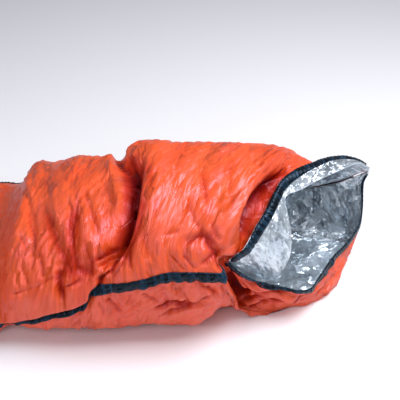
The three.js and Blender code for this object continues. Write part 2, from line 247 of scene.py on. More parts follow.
# Creases placed by the photograph: depth, width on either side, course in the photograph's frame
CREASES = [
    (
        36,
        4,
        15,
        [(127, 157), (127, 170), (127, 184), (126, 200), (125, 216), (123, 232), (121, 246), (120, 256)],
    ),
    (-9, 5, 4, [(112, 158), (113, 170), (114, 184), (115, 200), (115, 216), (114, 232)]),
    (-14, 7, 4, [(112, 154), (113, 162), (113, 172)]),
    (20, 3, 5, [(119, 155), (120, 164), (122, 175)]),
    (14, 10, 4, [(93, 264), (104, 259), (112, 253), (119, 247)]),
    (13, 3, 4, [(95, 280), (103, 274), (110, 269), (114, 261), (118, 254)]),
    (16, 3, 9, [(97, 276), (95, 288), (91, 299), (85, 308)]),
    (13, 12, 8, [(77, 199), (75, 212), (73, 228), (73, 243), (75, 255), (77, 265), (84, 270), (95, 278)]),
    (9, 12, 8, [(41, 198), (46, 213), (50, 226), (55, 241), (60, 256), (66, 270), (72, 282)]),
    (7, 3, 4, [(28, 202), (31, 220), (33, 237), (31, 255), (29, 277)]),
    (7, 3, 4, [(34, 248), (38, 264), (41, 280)]),
    (14, 3, 8, [(58, 266), (58, 279), (60, 291), (62, 306)]),
    (6, 3, 4, [(82, 182), (85, 195), (90, 210), (96, 225), (99, 236)]),
    (5, 3, 4, [(96, 172), (103, 183), (109, 195), (112, 206)]),
    (7, 3, 4, [(81, 239), (86, 252), (89, 263), (92, 273)]),
    (6, 3, 4, [(63, 194), (68, 206), (66, 220), (70, 236)]),
    (5, 4, 5, [(30, 290), (38, 286), (45, 281), (51, 276)]),
    (7, 3, 4, [(62, 289), (72, 286), (81, 284)]),
    (6, 3, 4, [(10, 297), (20, 293), (30, 288)]),
    (6, 3, 4, [(16, 232), (22, 240), (27, 248)]),
    (6, 3, 4, [(19, 260), (21, 275), (28, 290)]),
    (7, 8, 8, [(141, 190), (142, 205), (139, 222), (133, 238), (126, 250)]),
    (4, 3, 3, [(158, 190), (158, 204), (158, 218)]),
    (5, 5, 5, [(142, 226), (146, 240), (149, 252), (153, 264)]),
    (5, 3, 4, [(146, 158), (150, 172), (151, 186)]),
    (6, 5, 5, [(188, 188), (190, 204), (195, 218), (203, 232), (212, 244), (220, 251)]),
    (7, 3, 4, [(201, 163), (202, 180), (205, 192), (207, 207)]),
    (5, 5, 5, [(229, 156), (228, 172), (230, 186), (231, 200)]),
    (6, 3, 4, [(211, 217), (217, 232), (223, 245)]),
    (9, 7, 9, [(182, 244), (190, 239), (197, 237), (205, 241), (213, 248), (223, 253)]),
    (5, 9, 5, [(163, 233), (172, 231), (182, 230)]),
    (9, 6, 6, [(201, 269), (208, 262), (215, 257), (223, 254)]),
    (6, 3, 4, [(126, 246), (127, 260), (130, 274)]),
    (6, 3, 4, [(111, 283), (118, 270), (121, 260)]),
    (6, 3, 4, [(169, 256), (178, 265), (187, 274)]),
    (6, 3, 4, [(182, 256), (190, 265), (197, 273)]),
    (20, 5, 6, [(222, 255), (222, 266), (228, 273)]),
    (20, 5, 9, [(228, 272), (232, 282), (237, 291), (244, 299)]),
    (14, 9, 5, [(152, 312), (165, 309), (178, 307), (188, 307)]),
    (8, 3, 4, [(106, 301), (113, 309), (122, 316)]),
    (7, 3, 4, [(141, 295), (149, 301), (160, 305)]),
    (7, 3, 4, [(195, 282), (203, 289), (213, 291)]),
    (6, 3, 4, [(96, 304), (102, 312), (106, 322)]),
    (6, 3, 4, [(126, 307), (128, 301), (131, 295)]),
    (6, 3, 4, [(179, 287), (184, 298), (191, 306)]),
    (9, 5, 5, [(155, 320), (170, 315), (190, 309), (205, 303), (215, 297)]),
    (6, 3, 4, [(206, 289), (214, 296), (224, 301)]),
    (18, 4, 5, [(238, 291), (250, 294), (270, 296), (291, 297)]),
    (12, 3, 4, [(245, 283), (260, 288), (280, 293), (301, 294)]),
    (16, 4, 5, [(240, 304), (255, 300), (270, 303), (290, 303)]),
    (12, 3, 4, [(283, 304), (297, 301), (310, 295), (319, 285)]),
    (12, 3, 4, [(317, 297), (326, 285), (330, 271)]),
    (14, 3, 4, [(250, 309), (262, 306), (276, 307)]),
    (30, 9, 14, [(290, 170), (270, 188), (258, 204), (250, 222), (246, 239)]),
]

# Camera of the photograph: angle above the floor, distance and height of its aim, pixels per unit slope
ELEVATION = math.radians(36)
DISTANCE = 3200.0
AIM_HEIGHT = 350.0
FOCAL = 976.0
PHOTO_MIDDLE = 200.0

# Where the placed creases are looked for on the film, and how near in pixels counts as met
PLACE_U = np.arange(-960, LIP_U, 6.0)
PLACE_F = np.linspace(-0.36, 0.42, 330)
PLACE_NEAR = 3

# Scattered creases: seed, count, stretch of u and girth fraction, angle, its spread, length, width, depth
UPPER_CREASES = [
    (1, 150, (-270, 20, 0.03, 0.5), 88, 14, (40, 130), (3, 7), (1.2, 4)),
    (2, 150, (-660, -270, 0.02, 0.5), 78, 22, (40, 130), (3, 8), (1.2, 4)),
    (3, 150, (-1500, -640, 0.02, 0.48), 60, 50, (60, 160), (5, 10), (1, 3)),
    (4, 70, (0, 120, 0.02, 0.5), 60, 35, (25, 70), (3, 6), (1, 3)),
    (5, 150, (195, 300, 0, 0.5), 45, 60, (12, 40), (3, 6), (0.8, 2.2)),
]
LOWER_CREASES = [
    (11, 120, (-260, 60, 0.84, 1), 60, 35, (30, 90), (4, 9), (2, 6)),
    (12, 110, (-700, -260, 0.86, 1), 50, 40, (30, 100), (4, 9), (2, 6)),
    (13, 170, (50, 185, 0.66, 1), 88, 18, (30, 110), (4, 9), (2, 7)),
    (14, 90, (-700, 150, 0.5, 0.66), 70, 35, (30, 100), (4, 8), (1, 4)),
]

# Patches of pleats: seed, count, stretch of u and girth fraction, angle, its spread, pitch, height
UPPER_PLEATS = [
    (7, 34, (-250, 10, 0.04, 0.46), 88, 10, (14, 30), (3, 7)),
    (8, 34, (-660, -270, 0.03, 0.46), 80, 16, (16, 34), (3, 8)),
    (9, 30, (-1480, -640, 0.03, 0.46), 60, 40, (20, 40), (2, 5)),
]
LOWER_PLEATS = [
    (15, 26, (-700, 20, 0.86, 0.99), 60, 30, (20, 40), (4, 10)),
]

# Height of the broad swell, and its wavelengths along and round the bag
SWELL_HEIGHT = 3
SWELL_SEED = 6
SWELL_WAVES = (45, 150)

# Puckers beside the side seams fade out along these u
PUCKER_FADE = (20, 60)
PUCKER_REACH = 15

# Course of the foot tape off the film: over the upper panel, round the edge, under the lower panel
FOOT_TOP_IN = np.array([0, 0, 1.6])
FOOT_TOP_CROWN = np.array([0, 0, 0.5])
FOOT_TOP_OUT = np.array([-1.2, 0, 1.8])
FOOT_NOSE = np.array([-2.6, 0, 0])
FOOT_BOTTOM_OUT = np.array([-1.2, 0, -1.4])
FOOT_BOTTOM_IN = np.array([0, 0, -1.4])


def smooth(x, low, high):
    t = np.clip((x - low) / (high - low), 0, 1)
    return t * t * (3 - 2 * t)


def unit(v):
    return v / np.maximum(np.linalg.norm(v, axis=-1, keepdims=True), 1e-9)


def monotone(xs, ys, x):
    """Smooth curve through values at rising keys that never overshoots them."""
    gaps = np.diff(xs)
    slopes = np.diff(ys) / gaps
    tangents = np.concatenate([slopes[:1], np.zeros(len(xs) - 2), slopes[-1:]])
    for i in range(1, len(xs) - 1):
        if slopes[i - 1] * slopes[i] > 0:
            before, after = 2 * gaps[i] + gaps[i - 1], gaps[i] + 2 * gaps[i - 1]
            tangents[i] = (before + after) / (before / slopes[i - 1] + after / slopes[i])
    x = np.clip(x, xs[0], xs[-1])
    i = np.clip(np.searchsorted(xs, x, side="right") - 1, 0, len(xs) - 2)
    t = (x - xs[i]) / gaps[i]
    bend = t * (1 - t) * gaps[i] * ((1 - t) * tangents[i] - t * tangents[i + 1])
    return ys[i] + (ys[i + 1] - ys[i]) * t * t * (3 - 2 * t) + bend


def hermite(a, m, b, n, t):
    first = (1 + 2 * t) * (1 - t) ** 2 * a + t * (1 - t) ** 2 * m
    return first + t * t * (3 - 2 * t) * b + t * t * (t - 1) * n


def around(rows, f):
    """Closed smooth curve through rows of girth fraction, x, y, z."""
    keys = np.concatenate([rows[-2:, 0] - 1, rows[:, 0], rows[:3, 0] + 1])
    points = np.concatenate([rows[-2:, 1:], rows[:, 1:], rows[:3, 1:]])
    f = np.mod(f, 1.0)
    i = np.searchsorted(keys, f, side="right") - 1
    k0, k1, k2, k3 = (keys[i + n][..., None] for n in (-1, 0, 1, 2))
    p0, p1, p2, p3 = (points[i + n] for n in (-1, 0, 1, 2))
    span = k2 - k1
    leave, arrive = (p2 - p0) * span / (k2 - k0), (p3 - p1) * span / (k3 - k1)
    return hermite(p1, leave, p2, arrive, (f[..., None] - k1) / span)


def section_table(step=10.0, samples=601, loop_steps=240):
    """y and z of the plain sections, sampled along the bag and round the girth."""
    angle = np.linspace(0, 2 * np.pi, loop_steps + 1)
    s, c = np.sin(angle), np.cos(angle)
    exponent = 2 / np.where(c > 0, BOTTOM_POWER, TOP_POWER)
    sy, cz = np.sign(s) * np.abs(s) ** exponent, np.sign(c) * np.abs(c) ** exponent
    half = loop_steps // 2 + 1
    f = np.linspace(0, 1, samples)
    rows = []
    for x in np.arange(SECTIONS[0, 0], SECTIONS[-1, 0] + step, step):
        row = [float(monotone(SECTIONS[:, 0], SECTIONS[:, k], x)) for k in (1, 2, 3, 4)]
        middle, width, height, seam = row
        y, z = middle - width * sy, height / 2 * (1 - cz)
        arc = np.concatenate([[0], np.cumsum(np.hypot(np.diff(y), np.diff(z)))])
        at = (f * arc[-1] + np.interp(seam, z[:half], arc[:half])) % arc[-1]
        rows.append([np.interp(at, arc, y), np.interp(at, arc, z) - FLOOR_SINK])
    return np.array(rows), step


PLAIN, PLAIN_STEP = section_table()


def plain(x, f):
    r = np.clip((x - FOOT_X) / PLAIN_STEP, 0, len(PLAIN) - 1.001)
    c = np.clip(np.mod(f, 1.0) * (PLAIN.shape[2] - 1), 0, PLAIN.shape[2] - 1.001)
    i, j = r.astype(int), c.astype(int)
    a, b = (r - i)[..., None], (c - j)[..., None]
    near = (1 - b) * PLAIN[i, :, j] + b * PLAIN[i, :, j + 1]
    far = (1 - b) * PLAIN[i + 1, :, j] + b * PLAIN[i + 1, :, j + 1]
    return np.concatenate([x[..., None], (1 - a) * near + a * far], -1)


def plain_film(u, f):
    """Film before its folds; u runs along the bag: body up to 0, mouth up to 200, cuff up to 300."""
    end = monotone(SHOULDER[:, 0], SHOULDER[:, 1], np.mod(f, 1.0))
    body = plain(np.minimum(u, 0) + smooth(u, STRETCH_START, 0) * end, f)
    start = plain(end, f)
    leave = unit(start - plain(end - 10, f))
    neck, lip = around(NECK, f), around(LIP, f)
    near = np.linalg.norm(neck - start, axis=-1, keepdims=True)
    far = np.linalg.norm(lip - neck, axis=-1, keepdims=True)
    through = unit((neck - start) / near * far + (lip - neck) / far * near)
    low = (smooth(f, *RIM_RISE) * (1 - smooth(f, *RIM_FALL)))[..., None]
    arrive = unit(unit(lip - neck) + RIM_LEAN * low)
    w = np.clip(u / LIP_U, 0, 1)[..., None] * 2
    first = hermite(start, leave * near, neck, through * near, np.minimum(w, 1))
    second = hermite(neck, through * far, lip, arrive * far, np.maximum(w, 1) - 1)
    film = np.where((u > 0)[..., None], np.where(w < 1, first, second), body)
    for at_u, at_f, reach_u, reach_f, y in PUSHES:
        apart = np.abs(np.mod(f, 1.0) - at_f)
        apart = np.minimum(apart, 1 - apart)
        film[..., 1] += y * np.exp(-(((u - at_u) / reach_u) ** 2) - (apart / reach_f) ** 2)
    edge_f = np.clip(f, 0, 0.5)
    edge = np.stack([monotone(CUFF_EDGE[:, 0], CUFF_EDGE[:, k], edge_f) for k in (1, 2, 3)], -1)
    reach = np.linalg.norm(edge - lip, axis=-1, keepdims=True)
    turn = lip + arrive * np.minimum(LIP_HANDLE[0], LIP_HANDLE[1] * reach)
    over = edge + CUFF_LEAN * np.minimum(EDGE_HANDLE[0], EDGE_HANDLE[1] * reach)
    t = np.clip((u - LIP_U) / (CUFF_U - LIP_U), 0, 1)[..., None]
    cuff = (1 - t) ** 3 * lip + 3 * t * (1 - t) ** 2 * turn + 3 * t * t * (1 - t) * over + t**3 * edge
    return np.where((u > LIP_U)[..., None], cuff, film)


def fold_depth(u, f, folds):
    """Inward depth of the folds at u and f."""
    total = np.zeros(u.shape)
    for depth, width, course in folds:
        course = np.array(course) * (1, GIRTH)
        best, along = np.full(u.shape, 1e9), np.zeros(u.shape)
        count = len(course) - 1
        for wrap in (0, -1):
            at = np.stack([u, (f + wrap) * GIRTH], -1)
            for i in range(count):
                run = course[i + 1] - course[i]
                t = np.clip((at - course[i]) @ run / (run @ run), 0, 1)
                distance = np.linalg.norm(at - course[i] - t[..., None] * run, axis=-1)
                hit = distance < best
                best, along = np.where(hit, distance, best), np.where(hit, (i + t) / count, along)
        fade = smooth(along, 0, 0.18) * (1 - smooth(along, 0.82, 1))
        total += depth * np.exp(-((best / width) ** 2)) * (0.15 + 0.85 * fade)
    return total


def outward(u, f, top):
    """Outward normals of the film before its folds; the cuff, past the lip, ends at both side seams."""
    ahead, behind = f + 0.002, f - 0.002
    if top > LIP_U:
        ahead, behind = np.clip(ahead, 0, 0.5), np.clip(behind, 0, 0.5)
    else:
        ahead, behind = np.mod(ahead, 1.0), np.mod(behind, 1.0)
    du = plain_film(np.minimum(u + 2, top), f) - plain_film(np.maximum(u - 2, FOOT_X), f)
    return unit(np.cross(du, plain_film(u, ahead) - plain_film(u, behind)))


def slide(u, f):
    """Girth fraction after the near seam is slid up the film beside the waist."""
    apart = np.minimum(np.mod(f, 1.0), 1 - np.mod(f, 1.0))
    along = SEAM_SLIDE * smooth(u, *SLIDE_RISE) * (1 - smooth(u, *SLIDE_FALL))
    return f + along * np.exp(-((apart / SLIDE_REACH) ** 2))


def film(u, f, upper, crumple=None):
    """Middle of the film at u and f, with its folds and an outward crumple in millimetres."""
    f = slide(u, f)
    normal = np.where((u > LIP_U)[..., None], outward(u, f, CUFF_U), outward(np.minimum(u, LIP_U), f, LIP_U))
    rise = -fold_depth(u, f, FOLDS)
    if crumple is not None:
        rise = rise + crumple
    point = plain_film(u, f) + normal * rise[..., None]
    if upper:
        along = (1 - smooth(u, *HEM_FALL)) * smooth(u, *HEM_RISE)
        hem = along * np.exp(-(((f - HEM_AT) / HEM_WIDTH) ** 2))
        point += hem[..., None] * HEM_REACH
    lift = FOOT_LIFT * (1 - smooth(u, FOOT_X + TAPE_WIDTH, LIFT_END))
    part = FOOT_PART * (1 - smooth(u, *PART_FADE)) if upper else 0
    point[..., 2] = np.maximum(point[..., 2], 0) + FILM_T / 2 + lift + part
    return point


def steps(*runs):
    """Rising values from runs of first, last, count; a run's last value starts the next."""
    parts = [np.linspace(first, last, count, endpoint=False) for first, last, count in runs]
    return np.concatenate([*parts, [runs[-1][1]]])


def in_photo(points):
    """Pixel and depth of points as the photograph's camera sees them."""
    back = np.array([0, -math.cos(ELEVATION), math.sin(ELEVATION)])
    up = np.array([0, math.sin(ELEVATION), math.cos(ELEVATION)])
    ray = points - np.array([0, 0, AIM_HEIGHT]) - DISTANCE * back
    depth = -(ray @ back)
    across, down = ray[..., 0] / depth, -(ray @ up) / depth
    return PHOTO_MIDDLE + FOCAL * across, PHOTO_MIDDLE + FOCAL * down, depth


def placed_creases():
    """Courses of the placed creases carried from the photograph's frame to u and girth fraction."""
    u, f = np.meshgrid(PLACE_U, PLACE_F, indexing="ij")
    across, down, depth = in_photo(film(u, f, True))
    carried = []
    for deep, left, right, course in CREASES:
        spots = []
        for x, y in course:
            apart = np.hypot(across - x, down - y)
            score = np.where(apart < PLACE_NEAR, depth, 1e6 * (1 + apart))
            at = np.unravel_index(np.argmin(score), score.shape)
            spots.append((u[at], f[at]))
        carried.append((deep, left, right, spots))
    return carried


def crease_depth(u, f, folds):
    """Inward depth of sharp creases whose two sides differ in width."""
    grid_u, grid_v = u[:, None], f[None, :] * GIRTH
    total = np.zeros((len(u), len(f)))
    for deep, left, right, course in folds:
        course = np.array(course) * (1, GIRTH)
        left, right = left * CREASE_WIDTH, right * CREASE_WIDTH
        reach = 5 * max(left, right)
        for wrap in (0, GIRTH):
            points = course + (0, wrap)
            low, high = points.min(0) - reach, points.max(0) + reach
            i0, i1 = np.searchsorted(u, (low[0], high[0]))
            j0, j1 = np.searchsorted(f * GIRTH, (low[1], high[1]))
            if i0 == i1 or j0 == j1:
                continue
            at = np.stack(np.broadcast_arrays(grid_u[i0:i1], grid_v[:, j0:j1]), -1)
            best = np.full(at.shape[:2], 1e9)
            along, side = np.zeros(at.shape[:2]), np.zeros(at.shape[:2])
            count = len(points) - 1
            for k in range(count):
                run = points[k + 1] - points[k]
                t = np.clip((at - points[k]) @ run / (run @ run + 1e-9), 0, 1)
                off = at - points[k] - t[..., None] * run
                apart = np.linalg.norm(off, axis=-1)
                hit = apart < best
                best = np.where(hit, apart, best)
                along = np.where(hit, (k + t) / count, along)
                side = np.where(hit, off[..., 0], side)
            fade = smooth(along, 0, 0.2) * (1 - smooth(along, 0.8, 1))
            dent = deep * CREASE_DEPTH * np.exp(-best / np.where(side < 0, left, right))
            total[i0:i1, j0:j1] += dent * (0.3 + 0.7 * fade)
    return total


def pleats(u, f, seed, count, where, angle, spread, wave, height):
    """Patches of nearly parallel ridges, as pulled film makes them."""
    rng = np.random.default_rng(seed)
    low_u, high_u, low_f, high_f = where
    grid_u, grid_v = np.meshgrid(u, f * GIRTH, indexing="ij")
    total = np.zeros(grid_u.shape)
    for _ in range(count):
        at_u, at_v = rng.uniform(low_u, high_u), rng.uniform(low_f, high_f) * GIRTH
        turn = math.radians(angle + spread * rng.standard_normal())
        length = rng.uniform(*wave)
        long, wide = rng.uniform(50, 120), rng.uniform(25, 60)
        s = (grid_u - at_u) * math.cos(turn) + (grid_v - at_v) * math.sin(turn)
        t = (grid_v - at_v) * math.cos(turn) - (grid_u - at_u) * math.sin(turn)
        fan = t * (1 + 0.25 * s / long)
        ridge = np.abs(np.mod(fan / length + rng.uniform(0, 1), 1) - 0.5) * 2
        total += rng.uniform(*height) * (ridge - 0.5) * np.exp(-((s / long) ** 2) - (t / wide) ** 2)
    return total


def creases(u, f, seed, count, where, angle, spread, length, width, depth):
    """Short sharp creases scattered over a stretch of the grid; angle 90 runs round the girth."""
    rng = np.random.default_rng(seed)
    v = f * GIRTH
    low_u, high_u, low_f, high_f = where
    total = np.zeros((len(u), len(v)))
    for _ in range(count):
        at_u, at_v = rng.uniform(low_u, high_u), rng.uniform(low_f, high_f) * GIRTH
        turn = math.radians(angle + spread * rng.standard_normal())
        long, wide = rng.uniform(*length), rng.uniform(*width)
        high = rng.uniform(*depth) * rng.choice([-1, 1])
        bow = rng.uniform(-0.25, 0.25) * long
        reach = long + 4 * wide
        i0, i1 = np.searchsorted(u, (at_u - reach, at_u + reach))
        j0, j1 = np.searchsorted(v, (at_v - reach, at_v + reach))
        du, dv = u[i0:i1, None] - at_u, v[None, j0:j1] - at_v
        s = (du * math.cos(turn) + dv * math.sin(turn)) / long
        t = dv * math.cos(turn) - du * math.sin(turn) + bow * s * s
        fade = np.cos(np.pi / 2 * np.clip(s, -1, 1)) ** 2
        total[i0:i1, j0:j1] += high * np.exp(-np.abs(t) / wide) * fade
    return total


def swell(u, f, seed, long_u, long_v):
    """Smooth uneven field of about -1 to 1 with the given wavelengths."""
    rng = np.random.default_rng(seed)
    a, b = (u - FOOT_X) / long_u, (f * GIRTH) / long_v
    lattice = rng.uniform(-1, 1, (int(a.max()) + 4, int(b.max()) + 4))
    i, j = a.astype(int), b.astype(int)
    x, y = smooth(a - i, 0, 1)[:, None], smooth(b - j, 0, 1)[None, :]
    near = (1 - y) * lattice[np.ix_(i, j)] + y * lattice[np.ix_(i, j + 1)]
    far = (1 - y) * lattice[np.ix_(i + 1, j)] + y * lattice[np.ix_(i + 1, j + 1)]
    return (1 - x) * near + x * far


def pucker(u, f, seam_f):
    """Small cross gathers beside a side seam."""
    beside = np.exp(-np.abs(f - seam_f) * GIRTH / PUCKER_REACH)[None, :]
    wave = np.sin(2 * np.pi * u / 17 + 2.2 * np.sin(u / 41) + 1.3 * np.sin(u / 23))
    return 1.5 * beside * wave[:, None]


def surface_object(name, layers, uv, lined):
    """One mesh from outer and inner grids of points; a panel's inner faces take the second material."""
    outer, inner = layers
    height, width = outer.shape[:2]
    points = np.concatenate([outer.reshape(-1, 3), inner.reshape(-1, 3)])
    points[:, 2] = np.maximum(points[:, 2], FLOOR_GAP)
    points = (points - MIDDLE) / 1000
    index = np.arange(height * width).reshape(height, width)
    back = index + height * width
    a, b, c, d = index[:-1, :-1], index[1:, :-1], index[1:, 1:], index[:-1, 1:]
    front_faces = np.stack([a, b, c, d], -1).reshape(-1, 4)
    back_faces = np.stack([a, d, c, b], -1).reshape(-1, 4) + height * width
    rims = [
        np.stack([index[:-1, 0], back[:-1, 0], back[1:, 0], index[1:, 0]], -1),
        np.stack([index[:-1, -1], index[1:, -1], back[1:, -1], back[:-1, -1]], -1),
        np.stack([index[0, :-1], index[0, 1:], back[0, 1:], back[0, :-1]], -1),
        np.stack([index[-1, :-1], back[-1, :-1], back[-1, 1:], index[-1, 1:]], -1),
    ]
    faces = np.concatenate([front_faces, back_faces, *rims])
    mesh = bpy.data.meshes.new(name)
    mesh.vertices.add(len(points))
    mesh.vertices.foreach_set("co", points.astype(np.float32).ravel())
    mesh.loops.add(faces.size)
    mesh.loops.foreach_set("vertex_index", faces.astype(np.int32).ravel())
    mesh.polygons.add(len(faces))
    mesh.polygons.foreach_set("loop_start", np.arange(0, faces.size, 4, dtype=np.int32))
    mesh.polygons.foreach_set("use_smooth", np.ones(len(faces), bool))
    if lined:
        material = np.zeros(len(faces), np.int32)
        material[len(front_faces) : len(front_faces) + len(back_faces)] = 1
        mesh.polygons.foreach_set("material_index", material)
    layer = mesh.uv_layers.new(name="film")
    both = np.concatenate([uv.reshape(-1, 2)] * 2)
    layer.data.foreach_set("uv", both[faces.ravel()].astype(np.float32).ravel())
    mesh.update()
    mesh.validate()
    obj = bpy.data.objects.new(name, mesh)
    bpy.context.scene.collection.objects.link(obj)
    return obj


def grid_normals(points):
    return unit(np.cross(np.gradient(points, axis=0), np.gradient(points, axis=1)))


def metric(points, f):
    """Texture coordinates in metres: mean length along the rows, and girth."""
    along = np.linalg.norm(np.diff(points, axis=0), axis=-1).mean(1)
    lengths = np.concatenate([[0], np.cumsum(along)]) / 1000
    return np.stack(np.broadcast_arrays(lengths[:, None], (f * GIRTH / 1000)[None, :]), -1)


def panel(name, u, f, upper, crumple, placed):
    """Thin mesh of one panel, with how deep each point lies in the placed creases as an attribute for the
    painted shade in them.
    """
    grid_u, grid_f = np.meshgrid(u, f, indexing="ij")
    points = film(grid_u, grid_f, upper, crumple)
    normal = grid_normals(points)
    layers = points + normal * SKIN / 2, points - normal * SKIN / 2
    obj = surface_object(name, layers, metric(points, f), True)
    # Crease depth as the mask of painted shade: darker colour and weaker gloss deep in the creases
    deep = np.clip(placed / DARKEST_SHADE_DEPTH, 0, 1) * (grid_u < LIP_U)
    attribute = obj.data.attributes.new("painted_fold_shade", "FLOAT", "POINT")
    attribute.data.foreach_set("value", np.tile(deep.ravel(), 2).astype(np.float32))
    return obj


BODY_STEPS = ((FOOT_X, -700, 52), (-700, -420, 48), (-420, 0, 92))
UPPER_U = steps(*BODY_STEPS, (0, LIP_U, 62), (LIP_U, CUFF_U, 24))
UPPER_F = steps((0.0006, 0.06, 22), (0.06, 0.4994, 138))
LOWER_U = steps(*BODY_STEPS, (0, LIP_U, 66))
LOWER_F = steps((0.5006, 0.84, 76), (0.84, 0.9994, 60))

PLACED = placed_creases()
upper_placed = crease_depth(UPPER_U, UPPER_F, PLACED)
lower_placed = crease_depth(LOWER_U, LOWER_F, PLACED)
off_cuff = 1 - smooth(UPPER_U, 185, 215)[:, None]
body_part = 1 - smooth(UPPER_U, *PUCKER_FADE)[:, None]
low_body_part = 1 - smooth(LOWER_U, *PUCKER_FADE)[:, None]
upper_crumple = sum([
    *(creases(UPPER_U, UPPER_F, *row) for row in UPPER_CREASES),
    *(pleats(UPPER_U, UPPER_F, *row) for row in UPPER_PLEATS),
    off_cuff * SWELL_HEIGHT * swell(UPPER_U, UPPER_F, SWELL_SEED, *SWELL_WAVES),
    *(body_part * pucker(UPPER_U, UPPER_F, seam) for seam in (0, 0.5)),
    -upper_placed,
])
lower_crumple = sum([
    *(creases(LOWER_U, LOWER_F, *row) for row in LOWER_CREASES),
    *(pleats(LOWER_U, LOWER_F, *row) for row in LOWER_PLEATS),
    *(low_body_part * pucker(LOWER_U, LOWER_F, seam) for seam in (1, 0.5)),
    -lower_placed,
])

upper_film = panel("upper_film", UPPER_U, UPPER_F, True, upper_crumple, upper_placed)
lower_film = panel("lower_film", LOWER_U, LOWER_F, False, lower_crumple, lower_placed)


def crumple_at(u, f, grid_u, grid_f, field):
    i = np.clip(np.searchsorted(grid_u, u) - 1, 0, len(grid_u) - 2)
    j = np.clip(np.searchsorted(grid_f, f) - 1, 0, len(grid_f) - 2)
    a = np.clip((u - grid_u[i]) / (grid_u[i + 1] - grid_u[i]), 0, 1)
    b = np.clip((f - grid_f[j]) / (grid_f[j + 1] - grid_f[j]), 0, 1)
    near = (1 - b) * field[i, j] + b * field[i, j + 1]
    far = (1 - b) * field[i + 1, j] + b * field[i + 1, j + 1]
    return (1 - a) * near + a * far


def lengths_along(points):
    """Length run along the first axis of a line or a grid of points."""
    pieces = np.linalg.norm(np.diff(points, axis=0), axis=-1)
    return np.concatenate([np.zeros_like(pieces[:1]), np.cumsum(pieces, axis=0)])


def pucker_phase(lengths, seed):
    """Uneven drift of the puckers along a tape."""
    drift = np.random.default_rng(seed).uniform(0, 4, int(lengths[-1] / PHASE_STEP) + 2)
    return np.interp(lengths, np.arange(0, lengths[-1] + PHASE_STEP, PHASE_STEP), drift)


def tape(name, points, seed):
    """Puckered tape over a grid of film points that runs along the first axis and across the second."""
    across = points.shape[1]
    lengths = lengths_along(points[:, across // 2])
    phase = pucker_phase(lengths, seed)
    t = np.linspace(-1, 1, across)[None, :]
    ridge = np.abs(np.sin(np.pi * lengths / PUCKER_PITCH + phase))[:, None] ** 0.7
    lean = np.abs(np.sin(np.pi * (lengths[:, None] + 5 * t) / 8.3 + 2 * phase[:, None]))
    height = (3.2 * ridge + 1.1 * lean) * (1 - 0.75 * t**4) + 0.5
    normal = grid_normals(points)
    low = points + normal * (SKIN / 2 + TAPE_CLEAR)
    high = low + normal * (TAPE_T * 0.6 + height[..., None])
    uv = np.stack(np.broadcast_arrays(lengths[:, None] / 1000, t * SHOWN_TAPE_WIDTH / 2000), -1)
    return surface_object(name, (high, low), uv, False)


def seam_tape(name, seam_f, last_u, seed):
    """Tape over a side seam, half on each panel."""
    u = steps((FOOT_X + TAPE_WIDTH, last_u, int((last_u - FOOT_X) / 2.6)))
    f = seam_f + np.linspace(-SHOWN_TAPE_WIDTH / 2, SHOWN_TAPE_WIDTH / 2, 11) / GIRTH
    grid_u, grid_f = np.meshgrid(u, f, indexing="ij")
    on_upper = (grid_f >= 0) & (grid_f <= 0.5)
    f_upper = np.clip(grid_f, 0.001, 0.499)
    f_lower = np.clip(np.mod(grid_f, 1.0), 0.501, 0.999)
    rise = np.where(
        on_upper,
        crumple_at(grid_u, f_upper, UPPER_U, UPPER_F, upper_crumple),
        crumple_at(grid_u, f_lower, LOWER_U, LOWER_F, lower_crumple),
    )
    points = film(grid_u, grid_f, False, rise)
    points[..., 2] += (FOOT_PART / 2) * (1 - smooth(grid_u, *PART_FADE))
    return tape(name, points, seed)


def edge_probe(f, low_u, high_u, upper):
    """Values of u up to a free edge, and the film's length from the first of them to each, for every f."""
    probe = np.linspace(low_u, high_u, 41)
    grid_u, grid_f = np.meshgrid(probe, f, indexing="ij")
    return probe, lengths_along(film(grid_u, grid_f, upper))


def rim_tape(name, f, seed):
    """Tape on the silver face along the cuff's free edge."""
    probe, lengths = edge_probe(f, LIP_U, CUFF_U, True)
    total = lengths[-1]
    wide = np.minimum(SHOWN_TAPE_WIDTH, 0.6 * total)
    shares = np.linspace(0, 1, 9)
    at = total[None, :] - 3 - (1 - shares[:, None]) * (wide - 3)[None, :]
    u = np.stack([np.interp(at[:, k], lengths[:, k], probe) for k in range(len(f))])
    grid_f = np.broadcast_to(f[:, None], u.shape)
    return tape(name, film(u, grid_f, True, crumple_at(u, grid_f, UPPER_U, UPPER_F, upper_crumple)), seed)


def rim_wrap(name, f, seed):
    """Tape folded over the free edge of the lower panel, from the outer face to the inner face."""
    probe, lengths = edge_probe(f, LIP_U / 2, LIP_U, False)
    reach = np.array([17, 12, 7, 3, 0.6, 0, 0.6, 3, 7, 12, 17])
    side = np.array([1, 1, 1, 1, 0.6, 0, -0.6, -1, -1, -1, -1.0])
    edge = len(reach) // 2
    u = np.stack([np.interp(lengths[-1, k] - reach, lengths[:, k], probe) for k in range(len(f))])
    grid_f = np.broadcast_to(f[:, None], u.shape)
    rise = crumple_at(u, grid_f, LOWER_U, LOWER_F, lower_crumple)
    points = film(u, grid_f, False, rise)
    normal = outward(u, grid_f, LIP_U)
    ahead = unit(points[:, edge] - points[:, 2])[:, None, :] * (1 - np.abs(side))[None, :, None]
    turned = unit(normal * side[None, :, None] + ahead)
    run = lengths_along(points[:, edge])
    ridge = np.abs(np.sin(np.pi * run / RIM_PUCKER_PITCH + pucker_phase(run, seed)))[:, None, None] ** 0.7
    low = points + turned * (SKIN / 2 + TAPE_CLEAR)
    high = low + turned * (0.8 + 1.5 * ridge)
    band = np.linspace(0, TAPE_WIDTH / 1000, len(reach))
    uv = np.stack(np.broadcast_arrays(run[:, None] / 1000, band[None, :]), -1)
    return surface_object(name, (high, low), uv, False)


